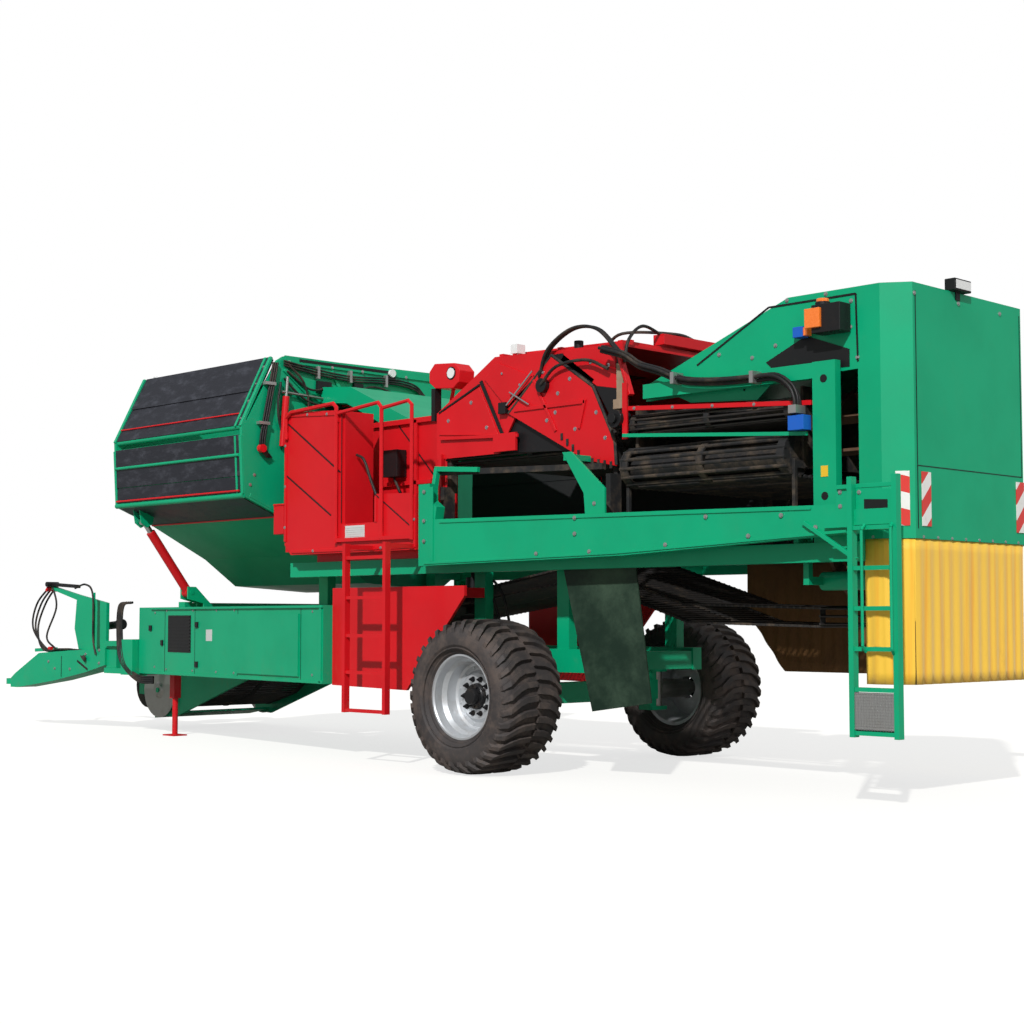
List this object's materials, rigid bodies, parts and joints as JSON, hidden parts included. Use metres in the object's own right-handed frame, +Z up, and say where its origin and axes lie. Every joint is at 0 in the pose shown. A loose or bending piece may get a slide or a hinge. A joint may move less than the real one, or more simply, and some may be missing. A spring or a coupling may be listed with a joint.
{
  "type": "trailed two-row potato harvester with bunker",
  "caption": "Towed potato harvester on two wheels, with drawbar, digging unit, sieve webs, ring elevator under a tall cowl, curtain, bunker, platform and ladders.",
  "frame": {"origin": "on the ground under the centre of the machine's bounding box", "axes": "+X forward to the towing eye, +Y left, +Z up"},
  "size_m": [13.39, 3.44, 3.96],
  "materials": {
    "green_paint": "satin",
    "red_paint": "satin",
    "yellow_cloth": "matt",
    "web_black": "matt",
    "steel": "satin",
    "rim_silver": "satin",
    "tyre": "matt",
    "flap_rubber": "matt",
    "belt": "matt"
  },
  "bodies": {
    "chassis": {"main_frame": "green_paint", "axle_beam": "green_paint", "left_side_beam": "green_paint", "right_side_beam": "green_paint", "elevator_cowl": "green_paint", "valve_post": "green_paint", "feed_web": "green_paint", "cabinet": "green_paint", "rear_ladder": "green_paint", "platform": "red_paint", "platform_rail": "red_paint", "front_ladder": "red_paint", "front_hood": "red_paint", "side_deflector": "red_paint", "left_fender": "red_paint", "right_fender": "red_paint", "parking_jack": "red_paint", "cross_web": "web_black", "second_web": "web_black", "sieve_web": "web_black", "curtain": "yellow_cloth", "left_flap": "flap_rubber", "right_skirt": "web_black"},
    "cabinet_door": {"cabinet_door": "green_paint"},
    "drawbar": {"drawbar": "green_paint"},
    "steer_cylinder": {"steer_cylinder": "red_paint"},
    "steer_cylinder_rod": {"steer_cylinder_rod": "steel"},
    "bunker": {"bunker": "green_paint"},
    "bunker_end": {"bunker_end": "belt"},
    "lift_cylinder": {"lift_cylinder": "red_paint"},
    "lift_cylinder_rod": {"lift_cylinder_rod": "steel"},
    "digger": {"digger_frame": "green_paint", "digger_web": "web_black"},
    "left_disc": {"left_disc": "steel"},
    "right_disc": {"right_disc": "steel"},
    "left_ridge_roller": {"left_ridge_roller": "web_black"},
    "right_ridge_roller": {"right_ridge_roller": "web_black"},
    "ring_elevator": {"ring_elevator": "web_black"},
    "left_knuckle": {"left_knuckle": "steel"},
    "right_knuckle": {"right_knuckle": "steel"},
    "left_wheel": {"left_tyre": "tyre", "left_rim": "rim_silver"},
    "right_wheel": {"right_tyre": "tyre", "right_rim": "rim_silver"}
  },
  "joints": [
    {"name": "left_steer", "type": "hinge", "parent": "chassis", "child": "left_knuckle", "pos_m": [-2.575, 0.86, 0.655], "axis": [0, 0, 1], "range_deg": [-12, 12]},
    {"name": "right_steer", "type": "hinge", "parent": "chassis", "child": "right_knuckle", "pos_m": [-2.575, -0.86, 0.655], "axis": [0, 0, 1], "range_deg": [-12, 12]},
    {"name": "left_wheel_spin", "type": "hinge", "parent": "left_knuckle", "child": "left_wheel", "pos_m": [-2.575, 1.37, 0.655], "axis": [0, 1, 0], "continuous": true},
    {"name": "right_wheel_spin", "type": "hinge", "parent": "right_knuckle", "child": "right_wheel", "pos_m": [-2.575, -1.37, 0.655], "axis": [0, 1, 0], "continuous": true},
    {"name": "drawbar_swing", "type": "hinge", "parent": "chassis", "child": "drawbar", "pos_m": [4.145, 0.78, 0.88], "axis": [0, 0, 1], "range_deg": [-20, 20]},
    {"name": "steer_cylinder_pivot", "type": "hinge", "parent": "chassis", "child": "steer_cylinder", "pos_m": [2.875, 0.37, 0.8], "axis": [0, 0, 1], "range_deg": [-3.8, 3.8]},
    {"name": "steer_cylinder_stroke", "type": "slide", "parent": "steer_cylinder", "child": "steer_cylinder_rod", "axis": [0.9956, 0.0933, 0], "range_m": [-0.102, 0.102]},
    {"name": "bunker_lift", "type": "hinge", "parent": "chassis", "child": "bunker", "pos_m": [1.625, -1.25, 1.72], "axis": [1, 0, 0], "range_deg": [0, 15]},
    {"name": "bunker_end_fold", "type": "hinge", "parent": "bunker", "child": "bunker_end", "pos_m": [1.625, 1.66, 3.2], "axis": [-1, 0, 0], "range_deg": [0, 50]},
    {"name": "lift_cylinder_pivot", "type": "hinge", "parent": "chassis", "child": "lift_cylinder", "pos_m": [2.545, 0.93, 1.6], "axis": [1, 0, 0], "range_deg": [0, 25]},
    {"name": "lift_cylinder_stroke", "type": "slide", "parent": "lift_cylinder", "child": "lift_cylinder_rod", "axis": [0, 0.6051, 0.7962], "range_m": [0, 0.533]},
    {"name": "digger_lift", "type": "hinge", "parent": "chassis", "child": "digger", "pos_m": [1.775, -0.78, 0.95], "axis": [0, -1, 0], "range_deg": [-2, 6]},
    {"name": "left_disc_spin", "type": "hinge", "parent": "digger", "child": "left_disc", "pos_m": [4.525, -0.015, 0.46], "axis": [0, 1, 0], "continuous": true},
    {"name": "right_disc_spin", "type": "hinge", "parent": "digger", "child": "right_disc", "pos_m": [4.525, -1.545, 0.46], "axis": [0, 1, 0], "continuous": true},
    {"name": "left_ridge_roller_spin", "type": "hinge", "parent": "digger", "child": "left_ridge_roller", "pos_m": [4.945, -0.445, 0.5], "axis": [0, 1, 0], "continuous": true},
    {"name": "right_ridge_roller_spin", "type": "hinge", "parent": "digger", "child": "right_ridge_roller", "pos_m": [4.945, -1.115, 0.5], "axis": [0, 1, 0], "continuous": true},
    {"name": "ring_elevator_spin", "type": "hinge", "parent": "chassis", "child": "ring_elevator", "pos_m": [-5.915, 0, 2.24], "axis": [1, 0, 0], "continuous": true},
    {"name": "cabinet_door_swing", "type": "hinge", "parent": "chassis", "child": "cabinet_door", "pos_m": [1.23029, 1.21615, 1.07], "axis": [0, 0, -1], "range_deg": [0, 100]}
  ],
  "couplings": [
    {"joint": "right_steer", "follows": "left_steer", "ratio": 1},
    {"joint": "steer_cylinder_pivot", "follows": "drawbar_swing", "ratio": 0.189},
    {"joint": "steer_cylinder_stroke", "follows": "drawbar_swing", "m_per_rad": 0.29},
    {"joint": "lift_cylinder_pivot", "follows": "bunker_lift", "ratio": 1.664},
    {"joint": "lift_cylinder_stroke", "follows": "bunker_lift", "m_per_rad": 2.032}
  ]
}
